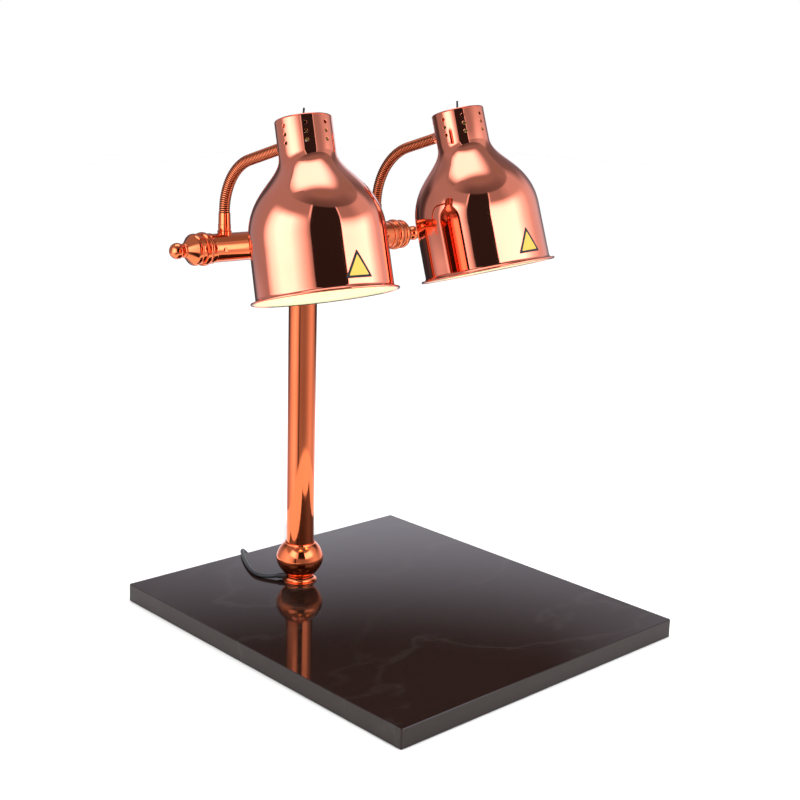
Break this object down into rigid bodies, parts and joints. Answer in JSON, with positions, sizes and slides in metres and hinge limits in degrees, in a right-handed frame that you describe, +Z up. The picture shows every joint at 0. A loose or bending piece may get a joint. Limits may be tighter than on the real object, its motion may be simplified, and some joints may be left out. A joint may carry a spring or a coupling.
{
  "type": "heat lamp warmer",
  "caption": "Countertop heat lamp warmer: dark board, copper column and cross arm, copper dome shades on bendable gooseneck arms, with bulbs, switches and lead.",
  "frame": {"origin": "centre of the board's underside", "axes": "+Z up; +X along the cross arm, to the right seen from the serving side; -Y is the serving side, where the lamps lean"},
  "size_m": [0.5172, 0.6856, 0.6898],
  "materials": {
    "board_stone": "polished dark stone",
    "pad_rubber": "matt",
    "screw_steel": "zinc plated",
    "tube_copper": "polished copper plate",
    "hose_copper": "copper plated, ribbed",
    "shade_copper": "polished rose copper",
    "switch_plastic": "gloss black",
    "holder_ceramic": "white porcelain",
    "pin_brass": "satin",
    "bulb_glass": "frosted face, silvered sides",
    "label_yellow": "printed film, blank",
    "cord_sheath": "smooth black",
    "plug_plastic": "moulded black",
    "tie_plastic": "black strap"
  },
  "bodies": {
    "stand": {"base_board": "board_stone", "anti_slip_pads": "pad_rubber", "base_screws": "screw_steel", "foot_collar": "tube_copper", "column_tube": "tube_copper", "tee_sleeve": "tube_copper", "arm_screws": "screw_steel", "left_arm_tube": "tube_copper", "right_arm_tube": "tube_copper", "left_finial": "tube_copper", "right_finial": "tube_copper", "finial_screws": "tube_copper", "outer_saddles": "tube_copper", "inner_saddles": "screw_steel", "terminal_block": "holder_ceramic", "column_cable": "cord_sheath", "arm_leads": "cord_sheath", "cord_relief": "cord_sheath", "power_cord": "cord_sheath", "cord_hank": "cord_sheath", "cord_tail": "cord_sheath", "cord_tie": "tie_plastic", "mains_plug": "plug_plastic", "plug_pins": "pin_brass"},
    "left_gooseneck_foot": {"left_ferrule": "tube_copper", "left_ferrule_nut": "screw_steel", "left_hose_lower": "hose_copper"},
    "left_gooseneck_middle": {"left_hose_middle": "hose_copper"},
    "left_lamp_head": {"left_hose_upper": "hose_copper", "left_neck_nipple": "tube_copper", "left_lock_nuts": "screw_steel", "left_shade": "shade_copper", "left_top_cap": "shade_copper", "left_switch_body": "switch_plastic", "left_switch_nut": "screw_steel", "left_holder_bracket": "screw_steel", "left_lampholder": "holder_ceramic", "left_screw_shell": "pin_brass", "left_bulb_glass": "bulb_glass", "left_bulb_cap": "screw_steel", "left_label": "label_yellow"},
    "left_toggle": {"left_switch_lever": "switch_plastic"},
    "right_gooseneck_foot": {"right_ferrule": "tube_copper", "right_ferrule_nut": "screw_steel", "right_hose_lower": "hose_copper"},
    "right_gooseneck_middle": {"right_hose_middle": "hose_copper"},
    "right_lamp_head": {"right_hose_upper": "hose_copper", "right_neck_nipple": "tube_copper", "right_lock_nuts": "screw_steel", "right_shade": "shade_copper", "right_top_cap": "shade_copper", "right_switch_body": "switch_plastic", "right_switch_nut": "screw_steel", "right_holder_bracket": "screw_steel", "right_lampholder": "holder_ceramic", "right_screw_shell": "pin_brass", "right_bulb_glass": "bulb_glass", "right_bulb_cap": "screw_steel", "right_label": "label_yellow"},
    "right_toggle": {"right_switch_lever": "switch_plastic"}
  },
  "joints": [
    {"name": "left_swing", "type": "hinge", "parent": "stand", "child": "left_gooseneck_foot", "pos_m": [-0.178, 0.1445, 0.5226], "axis": [0, 0, 1], "range_deg": [-35, 10]},
    {"name": "left_arm_bend", "type": "hinge", "parent": "left_gooseneck_foot", "child": "left_gooseneck_middle", "pos_m": [-0.178, 0.13001, 0.58855], "axis": [1, 0, 0], "range_deg": [-15, 15]},
    {"name": "left_head_tilt", "type": "hinge", "parent": "left_gooseneck_middle", "child": "left_lamp_head", "pos_m": [-0.178, 0.04795, 0.6265], "axis": [1, 0, 0], "range_deg": [-20, 12]},
    {"name": "left_switch_throw", "type": "hinge", "parent": "left_lamp_head", "child": "left_toggle", "pos_m": [-0.17708, -0.00944, 0.66639], "axis": [0, 0.9632, -0.2689], "range_deg": [-28, 0]},
    {"name": "right_swing", "type": "hinge", "parent": "stand", "child": "right_gooseneck_foot", "pos_m": [0.078, 0.1445, 0.5226], "axis": [0, 0, 1], "range_deg": [-10, 35]},
    {"name": "right_arm_bend", "type": "hinge", "parent": "right_gooseneck_foot", "child": "right_gooseneck_middle", "pos_m": [0.078, 0.12758, 0.59599], "axis": [1, 0, 0], "range_deg": [-15, 15]},
    {"name": "right_head_tilt", "type": "hinge", "parent": "right_gooseneck_middle", "child": "right_lamp_head", "pos_m": [0.078, 0.04971, 0.63577], "axis": [1, 0, 0], "range_deg": [-20, 12]},
    {"name": "right_switch_throw", "type": "hinge", "parent": "right_lamp_head", "child": "right_toggle", "pos_m": [0.07688, -0.00747, 0.67594], "axis": [0, 0.9617, -0.274], "range_deg": [-28, 0]}
  ]
}
